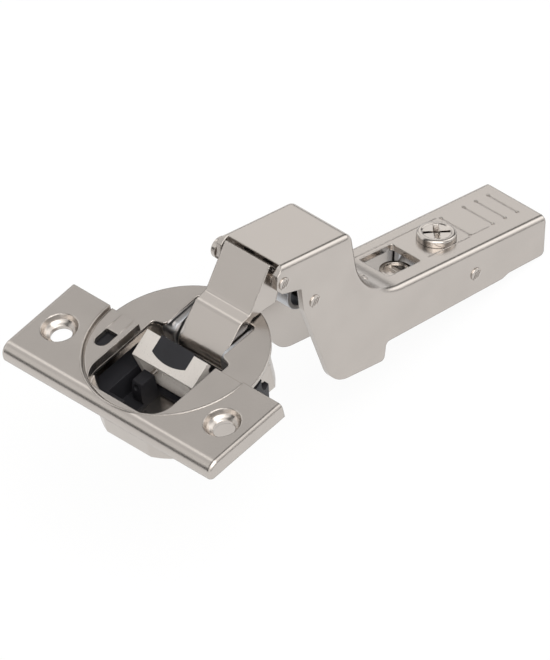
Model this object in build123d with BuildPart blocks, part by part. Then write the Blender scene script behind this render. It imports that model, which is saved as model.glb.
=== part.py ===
from build123d import *
import os
from math import atan2, cos, hypot, radians, sin

os.makedirs("parts", exist_ok=True)

# Concealed cup hinge for an inset door, shown open. Millimetres, +Z out of the door's face.
# The origin is where the cup's axis meets the door's face; +X runs towards the door's edge.

# Cup and its flange
cup_diameter = 35.0
cup_depth = 10.8
cup_wall = 1.0
cup_foot_radius = 1.0
facet_distance = 16.45
flat_front = 2.0
flat_distance = 13.4
flange_diameter = 37.2
flange_thickness = 0.7

# Wing plate, a pressed tray screwed on over the cup's front half
plate_height = 3.3
plate_sheet = 1.2
plate_half_length = 29.0
plate_front = 20.1
plate_back = 0.6
plate_front_roll = 2.6
plate_end_roll = 0.9
field_radius = 18.4
field_depth = 0.6
field_groove = 0.45
opening_lip = 1.0
screw_spacing = 45.0
screw_offset = 9.5
screw_hole = 4.5
countersink_diameter = 7.6
dish_steps = ((3.3, -1.1), (2.9, -1.55))
dish_depth = 1.9
dimple_low = 0.6
dimple_wall = 0.8
# Window for the damper's switch, and the switch
window_flat = -3.88
window_y = 13.5
window_width = 3.2
window_length = 4.4
switch_thickness = 0.5
switch_border = 0.9
switch_lap = 0.25
switch_travel = 1.5

# Opening through the plate and the flange, where the links come out
opening_half_width = 10.6
opening_front = 16.6
opening_corner = 5.0
opening_shoulder = 4.0
shoulder_run = 0.8
shoulder_round = 0.9
channel_half_width = 7.9
channel_end = 14.3
notch_half_width = 4.9
notch_floor = -3.6

# Four-bar linkage: two pivots in the cup in door coordinates, two in the arm's head in arm ones
outer_cup_pivot = (8.2, -4.3)
inner_cup_pivot = (11.8, -3.1)
outer_arm_pivot = (20.9, 9.7)
inner_arm_pivot = (29.89, 2.13)
opening_tilt = 18.8
pivot_clearance = 0.05
side_clearance = 0.3

# Outer link, folded from one sheet
link_sheet = 1.3
outer_link_half_width = 6.15
outer_pin_radius = 1.3
link_curl_radius = 2.9
link_curl_angle = 78
link_ear_radius = 2.5
link_knee = (6.71, 2.6)
link_elbow = (9.28, 1.18)
link_tip = (2.0, 3.14)
link_bend = 1.6
flange_low_points = ((2.28, 0.5), (5.17, 0.73), (8.98, 0.7), (11.69, -1.69), (13.57, -3.61), (15.64, -2.71))
knuckle_radius = 2.15
knuckle_spans = ((-6.15, -4.5), (-1.6, 0.8), (3.6, 6.15))
arm_front_pin_radius = 1.2

# Inner link, one bent bar with an eye at each end
inner_link_half_width = 4.4
inner_link_thickness = 1.8
inner_pin_radius = 1.1
inner_eye_radius = 2.1
inner_link_bends = ((3.6, 0.0), (4.65, 3.77), (6.2, 4.75), (10.7, 3.9), (13.7, 2.8))
inner_link_bend_radius = 1.5
free_eye_slack = 1.55
free_eye_wall = 0.95

# Bearing block inside the cup
bearing_gap_half = 6.45
bearing_half_width = 9.6
bearing_front = 5.0
bearing_back = 15.0
bearing_top = 0.3
bearing_base = 0.8
bearing_round = 2.0
pin_head_radius = 1.7
pin_head_thickness = 0.9
pin_head_round = 0.3

# Dark case on the cup's near side
side_case_outline = ((2.0, -2.9), (7.3, -2.9), (8.9, -6.5), (7.7, -9.3), (2.0, -9.3))
side_case_round = 0.5

# Damper in the cup. Its lever turns this high above the cup's floor, and points are measured from there.
lever_pivot_x = -1.5
lever_pivot_rise = 2.3
lever_half_width = 8.3
lever_sheet = 1.3
lever_cheek = 1.3
lever_top = (2.16, 10.0)
lever_bottom = (-2.9, 7.4)
lever_side_notch = 1.2
lever_pin_radius = 0.8
lever_hub_radius = 1.35
lever_tooth_reach = 1.9
lever_tooth_angle = 60
lever_tooth_radius = 0.5
lever_sweep_inner = 6.4
lever_sweep_outer = 10.9
insert_half_width = 4.6
insert_thickness = 0.6
insert_overhang = 0.4
insert_side = 3.3
insert_length = 4.3
damper_floor = 0.8
damper_height = 5.6
damper_side_y = 12.9
damper_front = 13.2
damper_back = 0.9
damper_inner_y = 4.0
damper_nose_back = -3.6
damper_ear_thickness = 1.2
damper_ear_radius = 1.9
rod_radius = 0.6
rod_y = 5.4
rod_length = 3.1

# Arm, folded from one sheet: head, crank and rear channel
arm_sheet = 1.4
arm_half_width = 8.47
arm_bend = 1.35
head_top = 13.48
head_front = 20.7
head_rear = 39.65
head_corner = 2.0
crank_bend = 13.9
crank_foot = 43.97
channel_top = -4.49
arm_rear = 94.3
head_wall_front = ((19.9, 12.9), (18.95, 11.9), (18.95, 8.9), (20.57, 7.45))
head_wall_low = ((25.9, 6.4), (27.0, 1.0), (28.3, -1.8), (36.5, -19.8))
keel_back = ((50.6, -19.85), (50.9, -15.85))
channel_low = ((82.9, -14.2), (84.6, -13.5), (94.3, -13.1))
keel_round = 6.5
corner_round = 1.0
bend_round = 2.0
window_half = 4.1
window_front = 55.0
window_back = 64.1
rib_places = (78.2, 84.5, 87.9, 91.3)
rib_centre = 0.55
rib_half_length = 4.05
rib_width = 0.35
rib_depth = 0.12

# Pieces carried by the arm
front_pin_head_radius = 2.3
front_pin_head = 1.2
pin_peen = 0.1
spring_wire = 0.7
spring_gap = 0.12
spring_leg_length = 7.0
spring_leg_lap = 0.05
coil_overlap = 0.86
screw_place = 72.3
screw_head_diameter = 8.0
screw_head_height = 2.0
screw_head_round = 0.5
screw_shank = 5.0
screw_end = -7.9
cross_width = 1.1
cross_length = 6.0
cross_depth = 1.2
adjust_travel = 1.0
carrier_sheet = 1.3
carrier_gap = 0.16
carrier_half_width = 6.75
tongue_half_width = 3.2
tongue_drop = 2.5
carrier_front = 49.6
carrier_step = 65.4
carrier_rear = 78.3
carrier_cheek_back = 71.8
carrier_low = -13.4
hook_length = 1.6
cam_place = 61.4
cam_radius = 3.3
cam_height = 1.1
cam_rim = 0.7
cam_stud_radius = 1.2
clip_pivot = (75.25, -9.98)
clip_pin_radius = 1.0
clip_half_width = 6.6
clip_sheet = 1.2
clip_boss_radius = 2.0
clip_outline = (
    (73.6, -9.0),
    (77.2, -9.0),
    (80.5, -10.4),
    (92.4, -11.2),
    (92.4, -12.4),
    (80.5, -12.2),
    (77.6, -12.8),
    (77.6, -15.4),
    (74.4, -15.4),
    (74.4, -14.4),
    (75.6, -14.0),
    (75.4, -11.5),
    (73.6, -11.0),
)
clip_plate_front = (79.0, -10.9)
clip_rear = (92.4, -11.8)
clip_spring_wire = 0.6
clip_spring_half = 3.4
clip_spring_leg = (84.0, -11.25)

# Working planes. On side planes the sketch's x runs along X and its y along Z.
door = Plane.XY
side = Plane.XZ
arm_side = Plane(
    origin=(0, 0, plate_height),
    x_dir=(cos(radians(opening_tilt)), 0, -sin(radians(opening_tilt))),
    z_dir=(0, -1, 0),
)
arm_top = Plane(origin=arm_side.origin, x_dir=arm_side.x_dir, z_dir=arm_side.y_dir)

# The arm's pivots in door coordinates, and a plane for each link with its cup pivot as origin
outer_arm_point = arm_side.from_local_coords((outer_arm_pivot[0], outer_arm_pivot[1], 0))
inner_arm_point = arm_side.from_local_coords((inner_arm_pivot[0], inner_arm_pivot[1], 0))
link_run = outer_arm_point.X - outer_cup_pivot[0]
link_rise = outer_arm_point.Z - outer_cup_pivot[1]
link_length = hypot(link_run, link_rise)
link_side = Plane(
    origin=(outer_cup_pivot[0], 0, outer_cup_pivot[1]),
    x_dir=(link_run, 0, link_rise),
    z_dir=(0, -1, 0),
)
cup_radius = cup_diameter / 2
flange_radius = flange_diameter / 2
cup_inner_radius = cup_radius - cup_wall
cup_floor = -cup_depth + cup_wall
lever_pivot = (lever_pivot_x, cup_floor + lever_pivot_rise)
lever_side = Plane(origin=(lever_pivot[0], 0, lever_pivot[1]), x_dir=(1, 0, 0), z_dir=(0, -1, 0))

# Cup's outline seen from above. The side flat leaves room for the pin's head within the bore.
with BuildSketch(door) as cup_outline:
    Circle(cup_radius)
    with Locations((-facet_distance - cup_radius, 0)):
        Rectangle(2 * cup_radius, 2 * cup_diameter, mode=Mode.SUBTRACT)
    with Locations((flat_front, -flat_distance)):
        Rectangle(cup_radius, cup_radius, align=(Align.MIN, Align.MAX), mode=Mode.SUBTRACT)


# Cup: a flanged pot with two flats, open where the links come out
with BuildPart() as cup:
    with BuildSketch(door.offset(-cup_depth)):
        add(cup_outline.sketch_local)
    extrude(amount=cup_depth)
    fillet(cup.faces().sort_by(Axis.Z)[0].edges(), cup_foot_radius)
    with BuildSketch(door):
        Circle(flange_radius)
    extrude(amount=flange_thickness)
    with BuildSketch(door.offset(cup_floor)):
        Circle(cup_inner_radius)
        with Locations((-facet_distance + cup_wall - cup_radius, 0)):
            Rectangle(2 * cup_radius, 2 * cup_diameter, mode=Mode.SUBTRACT)
        with Locations((flat_front - cup_wall, cup_wall - flat_distance)):
            Rectangle(cup_diameter, cup_radius, align=(Align.MIN, Align.MAX), mode=Mode.SUBTRACT)
    extrude(amount=-cup_floor, mode=Mode.SUBTRACT)
    # Opening in the flange, narrower beside the links
    with BuildSketch(door):
        with BuildLine():
            FilletPolyline(
                (-opening_front, -opening_half_width),
                (opening_shoulder, -opening_half_width),
                (opening_shoulder + shoulder_run, -channel_half_width),
                (channel_end, -channel_half_width),
                (channel_end, channel_half_width),
                (opening_shoulder + shoulder_run, channel_half_width),
                (opening_shoulder, opening_half_width),
                (-opening_front, opening_half_width),
                radius=(
                    opening_corner,
                    *[shoulder_round] * 6,
                    opening_corner,
                ),
                close=True,
            )
        make_face()
    extrude(amount=flange_thickness, mode=Mode.SUBTRACT)
    # Notch through the rim for the inner link
    with BuildSketch(side):
        with Locations((channel_end, notch_floor)):
            Rectangle(cup_radius, cup_depth, align=(Align.MIN, Align.MIN))
    extrude(amount=notch_half_width, both=True, mode=Mode.SUBTRACT)
    # Bores for the two cup pins, right through both walls
    with BuildSketch(side):
        with Locations(outer_cup_pivot):
            Circle(outer_pin_radius)
        with Locations(inner_cup_pivot):
            Circle(inner_pin_radius)
    extrude(amount=cup_radius, both=True, mode=Mode.SUBTRACT)
cup.part.label = "cup"
export_step(cup.part, "parts/cup.step")


# Wing plate: one pressed sheet, rolled over at the front and the ends
with BuildPart() as wing_plate:
    with BuildSketch(door):
        with Locations((plate_back, 0)):
            Rectangle(plate_front + plate_back, 2 * plate_half_length, align=(Align.MAX, Align.CENTER))
    extrude(amount=plate_height)
    top_edges = wing_plate.faces().sort_by(Axis.Z)[-1].edges()
    fillet(top_edges.filter_by(Axis.Y).sort_by(Axis.X)[0], plate_front_roll)
    fillet(wing_plate.faces().sort_by(Axis.Z)[-1].edges().filter_by(Axis.X), plate_end_roll)
    # Hollow underside, with the back wall left off where the cup's flange comes out
    with BuildSketch(door):
        with Locations((plate_back - plate_sheet, 0)):
            Rectangle(
                plate_front + plate_back - 2 * plate_sheet,
                2 * (plate_half_length - plate_sheet),
                align=(Align.MAX, Align.CENTER),
            )
        with Locations((plate_back, 0)):
            Rectangle(4 * plate_sheet, flange_diameter + 2 * side_clearance)
    extrude(amount=plate_height - plate_sheet, mode=Mode.SUBTRACT)
    # Round field pressed down over the cup, with a groove round it
    with BuildSketch(door.offset(plate_height - plate_sheet - field_depth)):
        Circle(field_radius)
        with Locations((plate_back, 0)):
            Rectangle(cup_diameter, 2 * cup_diameter, align=(Align.MIN, Align.CENTER), mode=Mode.SUBTRACT)
    extrude(amount=field_depth)
    with BuildSketch(door.offset(plate_height - field_depth)):
        Circle(field_radius)
    extrude(amount=field_depth, mode=Mode.SUBTRACT)
    with BuildSketch(door.offset(plate_height - field_depth - field_groove)):
        Circle(field_radius)
        Circle(field_radius - field_groove, mode=Mode.SUBTRACT)
    extrude(amount=field_groove, mode=Mode.SUBTRACT)
    # Lip turned down round the opening, which sits on the cup's flange
    with BuildSketch(door.offset(flange_thickness)):
        with Locations((plate_back, 0)):
            RectangleRounded(
                2 * (opening_front + plate_back + opening_lip),
                2 * (opening_half_width + opening_lip),
                opening_corner + opening_lip,
            )
            Rectangle(4 * cup_diameter, cup_diameter, align=(Align.MIN, Align.CENTER), mode=Mode.SUBTRACT)
        Circle(field_radius - field_groove, mode=Mode.INTERSECT)
    extrude(amount=plate_height - plate_sheet - field_depth - flange_thickness)
    # Opening over the cup
    with BuildSketch(door):
        with Locations((plate_back, 0)):
            RectangleRounded(
                2 * (opening_front + plate_back), 2 * opening_half_width, opening_corner
            )
    extrude(amount=plate_height, mode=Mode.SUBTRACT)
    # Countersunk screw holes in the wings, each in a dimple below the sheet
    with BuildSketch(door.offset(dimple_low)):
        with Locations((-screw_offset, -screw_spacing / 2), (-screw_offset, screw_spacing / 2)):
            Circle(countersink_diameter / 2 + dimple_wall)
    extrude(amount=plate_height - plate_sheet - dimple_low)
    for wing in (-1, 1):
        dish_centre = (-screw_offset, wing * screw_spacing / 2, plate_height)
        with BuildSketch(Plane(origin=dish_centre, x_dir=(1, 0, 0), z_dir=(0, -1, 0))):
            with BuildLine():
                Polyline(
                    (0, 0),
                    (countersink_diameter / 2, 0),
                    *dish_steps,
                    (screw_hole / 2, -dish_depth),
                    (screw_hole / 2, -plate_height),
                    (0, -plate_height),
                    close=True,
                )
            make_face()
        revolve(axis=Axis(dish_centre, (0, 0, 1)), mode=Mode.SUBTRACT)
    # Window with one round end over the damper's switch
    with BuildSketch(door):
        with Locations((window_flat, window_y)):
            Rectangle(window_length - window_width / 2, window_width, align=(Align.MAX, Align.CENTER))
        with Locations((window_flat - window_length + window_width / 2, window_y)):
            Circle(window_width / 2)
    extrude(amount=plate_height, mode=Mode.SUBTRACT)
wing_plate.part.label = "wing_plate"
export_step(wing_plate.part, "parts/wing_plate.step")


# Bearing block: two cheeks on a base, which hold both cup pins beside the links
with BuildPart() as link_bearing:
    with BuildSketch(door.offset(cup_floor)):
        with Locations((bearing_front, 0)):
            Rectangle(
                bearing_back - bearing_front, 2 * bearing_half_width, align=(Align.MIN, Align.CENTER)
            )
        Circle(cup_inner_radius - pivot_clearance, mode=Mode.INTERSECT)
    extrude(amount=-cup_floor - bearing_top)
    with BuildSketch(door.offset(cup_floor + bearing_base)):
        Rectangle(2 * cup_diameter, 2 * bearing_gap_half)
    extrude(amount=cup_depth, mode=Mode.SUBTRACT)
    top_front = link_bearing.edges().filter_by(Axis.Y).group_by(Axis.Z)[-1].group_by(Axis.X)[0]
    fillet(top_front, bearing_round)
    with BuildSketch(side):
        with Locations(outer_cup_pivot):
            Circle(outer_pin_radius)
        with Locations(inner_cup_pivot):
            Circle(inner_pin_radius)
    extrude(amount=cup_radius, both=True, mode=Mode.SUBTRACT)
link_bearing.part.label = "link_bearing"
export_step(link_bearing.part, "parts/link_bearing.step")


# Cup pins, ground flush with the cup's outside; the outer link's has a head on the side flat
with BuildPart() as outer_link_pin:
    with BuildSketch(side):
        with Locations(outer_cup_pivot):
            Circle(outer_pin_radius)
    extrude(amount=cup_radius, both=True)
    with BuildSketch(door.offset(-cup_depth)):
        add(cup_outline.sketch_local)
    extrude(amount=cup_depth, mode=Mode.INTERSECT)
    with BuildSketch(side.offset(flat_distance)):
        with Locations(outer_cup_pivot):
            Circle(pin_head_radius)
    extrude(amount=pin_head_thickness)
    fillet(outer_link_pin.faces().sort_by(Axis.Y)[0].edges(), pin_head_round)
outer_link_pin.part.label = "outer_link_pin"
export_step(outer_link_pin.part, "parts/outer_link_pin.step")

with BuildPart() as inner_link_pin:
    with BuildSketch(side):
        with Locations(inner_cup_pivot):
            Circle(inner_pin_radius)
    extrude(amount=cup_radius, both=True)
    with BuildSketch(door.offset(-cup_depth)):
        add(cup_outline.sketch_local)
    extrude(amount=cup_depth, mode=Mode.INTERSECT)
inner_link_pin.part.label = "inner_link_pin"
export_step(inner_link_pin.part, "parts/inner_link_pin.step")


# Outer link: a stepped web with side flanges, curled round the cup pin and knuckled at the arm
curl_middle = link_curl_radius - link_sheet / 2
tip_point = (link_length + link_tip[0], link_tip[1])
tip_slope = (link_tip[1] - link_elbow[1]) / (tip_point[0] - link_elbow[0])
knuckle_rise = link_tip[1] - tip_slope * link_tip[0]
with BuildPart() as outer_link:
    with BuildSketch(link_side):
        with BuildLine() as web_line:
            curl = CenterArc((0, 0), curl_middle, 90 + link_curl_angle, -link_curl_angle)
            FilletPolyline(curl @ 1, link_knee, link_elbow, tip_point, radius=link_bend)
        trace(line_width=link_sheet)
    extrude(amount=outer_link_half_width, both=True)
    # Side flanges, with an ear round each pin
    for outside in (-outer_link_half_width, outer_link_half_width - link_sheet):
        with BuildSketch(link_side.offset(outside)):
            with BuildLine():
                Polyline(
                    (0, curl_middle),
                    link_knee,
                    link_elbow,
                    (link_length, knuckle_rise),
                    (link_length, 0),
                    *reversed(flange_low_points),
                    (0, curl_middle),
                )
            make_face()
            Circle(link_ear_radius)
            with Locations((link_length, 0)):
                Circle(knuckle_radius)
        extrude(amount=link_sheet)
    # Knuckles rolled round the arm's pin; the closing spring sits between them
    for low, high in knuckle_spans:
        with BuildSketch(link_side.offset(-high)):
            with BuildSketch(mode=Mode.PRIVATE) as round_ends:
                with Locations((link_length, 0)):
                    Circle(knuckle_radius)
                with Locations((link_length, knuckle_rise)):
                    Circle(link_sheet / 2)
            make_hull(round_ends.edges())
        extrude(amount=high - low)
    # Pin bores
    with BuildSketch(link_side):
        Circle(outer_pin_radius + pivot_clearance)
        with Locations((link_length, 0)):
            Circle(arm_front_pin_radius + pivot_clearance)
    extrude(amount=outer_link_half_width, both=True, mode=Mode.SUBTRACT)
outer_link.part.label = "outer_link"
export_step(outer_link.part, "parts/outer_link.step")


# Inner link: a bar bent clear of the outer one, with a wide free eye at the arm's rear pin
inner_run = inner_arm_point.X - inner_cup_pivot[0]
inner_rise = inner_arm_point.Z - inner_cup_pivot[1]
free_eye_bore = inner_pin_radius + free_eye_slack
inner_side = Plane(origin=(inner_cup_pivot[0], 0, inner_cup_pivot[1]), x_dir=(1, 0, 0), z_dir=(0, -1, 0))
with BuildPart() as inner_link:
    with BuildSketch(inner_side):
        with BuildLine():
            FilletPolyline((0, 0), *inner_link_bends, (inner_run, inner_rise), radius=inner_link_bend_radius)
        trace(line_width=inner_link_thickness)
        Circle(inner_eye_radius)
        with Locations((inner_run, inner_rise)):
            Circle(free_eye_bore + free_eye_wall)
            Circle(free_eye_bore, mode=Mode.SUBTRACT)
        Circle(inner_pin_radius + pivot_clearance, mode=Mode.SUBTRACT)
    extrude(amount=inner_link_half_width, both=True)
inner_link.part.label = "inner_link"
export_step(inner_link.part, "parts/inner_link.step")


# Side case: a dark plastic piece on the cup's side flat, kept inside the cup's circle
with BuildPart() as side_case:
    with BuildSketch(side.offset(flat_distance)):
        with BuildLine():
            FilletPolyline(*side_case_outline, radius=side_case_round, close=True)
        make_face()
        with Locations(outer_cup_pivot):
            Circle(pin_head_radius + side_clearance, mode=Mode.SUBTRACT)
    extrude(amount=cup_radius - flat_distance)
    with BuildSketch(door.offset(-cup_depth)):
        Circle(cup_radius - side_clearance)
    extrude(amount=cup_depth, mode=Mode.INTERSECT)
side_case.part.label = "side_case"
export_step(side_case.part, "parts/side_case.step")


# Damper housing: a side block, a front wall and a nose round the rod, on one floor plate
sweep_half_width = lever_half_width + side_clearance
nose_half_gap = lever_half_width - lever_cheek - side_clearance
with BuildPart() as damper_housing:
    with BuildSketch(door.offset(cup_floor)):
        with Locations((damper_back, sweep_half_width)):
            Rectangle(
                damper_front + damper_back, damper_side_y - sweep_half_width, align=(Align.MAX, Align.MIN)
            )
        with Locations((damper_nose_back, damper_inner_y)):
            Rectangle(
                damper_front + damper_nose_back,
                sweep_half_width - damper_inner_y,
                align=(Align.MAX, Align.MIN),
            )
        Circle(cup_inner_radius - pivot_clearance, mode=Mode.INTERSECT)
    extrude(amount=damper_height)
    # Room for the lever's plate and cheeks over their whole turn
    with BuildSketch(lever_side):
        Circle(lever_sweep_outer)
        Circle(lever_sweep_inner, mode=Mode.SUBTRACT)
    extrude(amount=sweep_half_width, both=True, mode=Mode.SUBTRACT)
    with BuildSketch(lever_side.offset(-sweep_half_width)):
        Circle(lever_sweep_outer)
    extrude(amount=sweep_half_width - nose_half_gap, mode=Mode.SUBTRACT)
    # Floor plate, and the ear across the lever from the side block
    with BuildSketch(door.offset(cup_floor)):
        with Locations((damper_back, damper_inner_y)):
            Rectangle(damper_front + damper_back, damper_side_y - damper_inner_y, align=(Align.MAX, Align.MIN))
        with Locations((lever_pivot[0], 0)):
            Rectangle(2 * damper_ear_radius, 2 * (sweep_half_width + damper_ear_thickness))
        Circle(cup_inner_radius - pivot_clearance, mode=Mode.INTERSECT)
    extrude(amount=damper_floor)
    with BuildSketch(lever_side.offset(sweep_half_width)):
        Circle(damper_ear_radius)
        with Locations((0, cup_floor - lever_pivot[1])):
            Rectangle(2 * damper_ear_radius, lever_pivot[1] - cup_floor, align=(Align.CENTER, Align.MIN))
    extrude(amount=damper_ear_thickness)
    # Bores for the lever's pin and for the rod
    with BuildSketch(lever_side):
        Circle(lever_pin_radius)
    extrude(amount=sweep_half_width + damper_ear_thickness, both=True, mode=Mode.SUBTRACT)
    rod_z = lever_pivot[1] + lever_tooth_reach * sin(radians(lever_tooth_angle)) + lever_tooth_radius
    with BuildSketch(Plane.YZ.offset(damper_nose_back)):
        with Locations((rod_y, rod_z)):
            Circle(rod_radius + pivot_clearance)
    extrude(amount=-damper_front, mode=Mode.SUBTRACT)
damper_housing.part.label = "damper_housing"
export_step(damper_housing.part, "parts/damper_housing.step")

lever_pin_half = sweep_half_width + damper_ear_thickness
with BuildPart() as lever_pin:
    with BuildSketch(lever_side):
        Circle(lever_pin_radius)
    extrude(amount=lever_pin_half, both=True)
lever_pin.part.label = "lever_pin"
export_step(lever_pin.part, "parts/lever_pin.step")


# Damper lever: a pale plate across the cup on two cheeks and a hub, with a tooth on the rod
plate_angle = atan2(lever_top[1] - lever_bottom[1], lever_top[0] - lever_bottom[0])
plate_length = hypot(lever_top[0] - lever_bottom[0], lever_top[1] - lever_bottom[1])
lever_face = Plane(
    origin=lever_side.from_local_coords((lever_bottom[0], lever_bottom[1], 0)),
    x_dir=(cos(plate_angle), 0, sin(plate_angle)),
    z_dir=(-sin(plate_angle), 0, cos(plate_angle)),
)
tooth_x = lever_tooth_reach * cos(radians(lever_tooth_angle))
tooth_z = lever_tooth_reach * sin(radians(lever_tooth_angle))
rod_tip = tooth_x - lever_tooth_radius - rod_radius - side_clearance
with BuildPart() as damper_lever:
    with BuildSketch(lever_face):
        Rectangle(plate_length, 2 * lever_half_width, align=(Align.MIN, Align.CENTER))
        with Locations((plate_length / 2, -lever_half_width), (plate_length / 2, lever_half_width)):
            Circle(lever_side_notch, mode=Mode.SUBTRACT)
    extrude(amount=-lever_sheet)
    for outside in (-lever_half_width, lever_half_width - lever_cheek):
        with BuildSketch(lever_side.offset(outside)):
            with BuildLine():
                Polyline(
                    (-lever_hub_radius, 0),
                    lever_bottom,
                    lever_top,
                    (lever_hub_radius, 0),
                    close=True,
                )
            make_face()
            Circle(lever_hub_radius)
        extrude(amount=lever_cheek)
    with BuildSketch(lever_side):
        Circle(lever_hub_radius)
    extrude(amount=lever_half_width, both=True)
    with BuildSketch(lever_side.offset(-rod_y - lever_hub_radius)):
        with BuildSketch(mode=Mode.PRIVATE) as tooth:
            Circle(lever_hub_radius)
            with Locations((tooth_x, tooth_z)):
                Circle(lever_tooth_radius)
        make_hull(tooth.edges())
    extrude(amount=2 * lever_hub_radius)
    with BuildSketch(lever_side):
        Circle(lever_pin_radius + pivot_clearance)
    extrude(amount=lever_half_width, both=True, mode=Mode.SUBTRACT)
    # Seat for the insert in the plate's top edge
    with BuildSketch(lever_face) as insert_seat:
        with BuildLine():
            Line((plate_length, -insert_half_width), (plate_length - insert_side, -insert_half_width))
            ThreePointArc(
                (plate_length - insert_side, -insert_half_width),
                (plate_length - insert_length, 0),
                (plate_length - insert_side, insert_half_width),
            )
            Polyline(
                (plate_length - insert_side, insert_half_width),
                (plate_length, insert_half_width),
                (plate_length, -insert_half_width),
            )
        make_face()
    extrude(amount=-insert_thickness, mode=Mode.SUBTRACT)
damper_lever.part.label = "damper_lever"
export_step(damper_lever.part, "parts/damper_lever.step")

with BuildPart() as lever_insert:
    with BuildSketch(lever_face.offset(-insert_thickness)):
        add(insert_seat.sketch_local)
        with Locations((plate_length, 0)):
            Rectangle(insert_overhang, 2 * insert_half_width, align=(Align.MIN, Align.CENTER))
    extrude(amount=insert_thickness)
lever_insert.part.label = "lever_insert"
export_step(lever_insert.part, "parts/lever_insert.step")

with BuildPart() as damper_rod:
    with BuildSketch(Plane.YZ.offset(lever_pivot[0] + rod_tip)):
        with Locations((rod_y, rod_z)):
            Circle(rod_radius)
    extrude(amount=-rod_length)
damper_rod.part.label = "damper_rod"
export_step(damper_rod.part, "parts/damper_rod.step")

with BuildPart() as damper_switch:
    with BuildSketch(door.offset(flange_thickness + pivot_clearance)):
        with Locations((window_flat + switch_border, window_y)):
            Rectangle(
                window_length + switch_travel + 2 * switch_border,
                window_width + 2 * switch_lap,
                align=(Align.MAX, Align.CENTER),
            )
        Circle(field_radius - field_groove, mode=Mode.INTERSECT)
    extrude(amount=switch_thickness)
damper_switch.part.label = "damper_switch"
export_step(damper_switch.part, "parts/damper_switch.step")


# Arm: one folded sheet, a boxed head over the links, a crank and a rear channel
with BuildLine() as web_line:
    FilletPolyline(
        (head_front, head_top),
        (head_rear, head_top),
        (crank_foot, channel_top),
        (arm_rear, channel_top),
        radius=(head_corner, crank_bend),
    )
with BuildLine() as low_line:
    FilletPolyline(
        web_line.line @ 1,
        *reversed(channel_low),
        *reversed(keel_back),
        *reversed(head_wall_low),
        radius=(corner_round, *[bend_round] * 2, *[corner_round] * 2, keel_round, bend_round, corner_round),
    )
arm_inner = arm_half_width - arm_sheet
with BuildPart() as arm:
    with BuildSketch(arm_side) as arm_profile:
        with BuildLine():
            add(web_line.line)
            add(low_line.line)
            Polyline(low_line.line @ 1, *reversed(head_wall_front), web_line.line @ 0)
        make_face()
    extrude(amount=arm_half_width, both=True)

    def on_web_line(edge):
        """Whether an edge lies along the web's outer line on one of the two sides."""
        middle = arm_side.to_local_coords(edge @ 0.5)
        beside = abs(abs(middle.Z) - arm_half_width) < 0.01
        return beside and web_line.line.distance_to(Vector(middle.X, middle.Y, 0)) < 0.01

    fillet(arm.edges().filter_by(on_web_line), arm_bend)
    with BuildSketch(arm_side):
        add(arm_profile.sketch_local)
        trace(web_line.line, 2 * arm_sheet, mode=Mode.SUBTRACT)
    extrude(amount=arm_inner, both=True, mode=Mode.SUBTRACT)
    # Square opening, slot under the screw's head and pressed cross lines
    with BuildSketch(arm_top.offset(channel_top)):
        with Locations(((window_front + window_back) / 2, 0)):
            RectangleRounded(window_back - window_front, 2 * window_half, arm_sheet / 2)
        with Locations((screw_place, 0)):
            SlotCenterToCenter(2 * adjust_travel, screw_shank + 2 * side_clearance)
    extrude(amount=-arm_sheet, mode=Mode.SUBTRACT)
    with BuildSketch(arm_top.offset(channel_top)):
        with Locations(*[(place, rib_centre) for place in rib_places]):
            Rectangle(rib_width, 2 * rib_half_length)
    extrude(amount=-rib_depth, mode=Mode.SUBTRACT)
    # Bores for the three pins
    with BuildSketch(arm_side):
        with Locations(outer_arm_pivot):
            Circle(arm_front_pin_radius)
        with Locations(inner_arm_pivot):
            Circle(inner_pin_radius)
        with Locations(clip_pivot):
            Circle(clip_pin_radius)
    extrude(amount=arm_half_width, both=True, mode=Mode.SUBTRACT)
arm.part.label = "arm"
export_step(arm.part, "parts/arm.step")


# Arm pins: the front one has a head on the far side, the others are peened flush
with BuildPart() as arm_front_pin:
    with BuildSketch(arm_side):
        with Locations(outer_arm_pivot):
            Circle(arm_front_pin_radius)
    extrude(amount=arm_half_width + pin_peen, both=True)
    with BuildSketch(arm_side.offset(-arm_half_width)):
        with Locations(outer_arm_pivot):
            Circle(front_pin_head_radius)
    extrude(amount=-front_pin_head)
    head_end = arm_front_pin.faces().sort_by(Axis.Y)[-1]
    fillet(head_end.edges(), pin_head_round)
arm_front_pin.part.label = "arm_front_pin"
export_step(arm_front_pin.part, "parts/arm_front_pin.step")

with BuildPart() as arm_rear_pin:
    with BuildSketch(arm_side):
        with Locations(inner_arm_pivot):
            Circle(inner_pin_radius)
    extrude(amount=arm_half_width + pin_peen, both=True)
arm_rear_pin.part.label = "arm_rear_pin"
export_step(arm_rear_pin.part, "parts/arm_rear_pin.step")

with BuildPart() as clip_lever_pin:
    with BuildSketch(arm_side):
        with Locations(clip_pivot):
            Circle(clip_pin_radius)
    extrude(amount=arm_half_width + pin_peen, both=True)
clip_lever_pin.part.label = "clip_lever_pin"
export_step(clip_lever_pin.part, "parts/clip_lever_pin.step")


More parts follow.
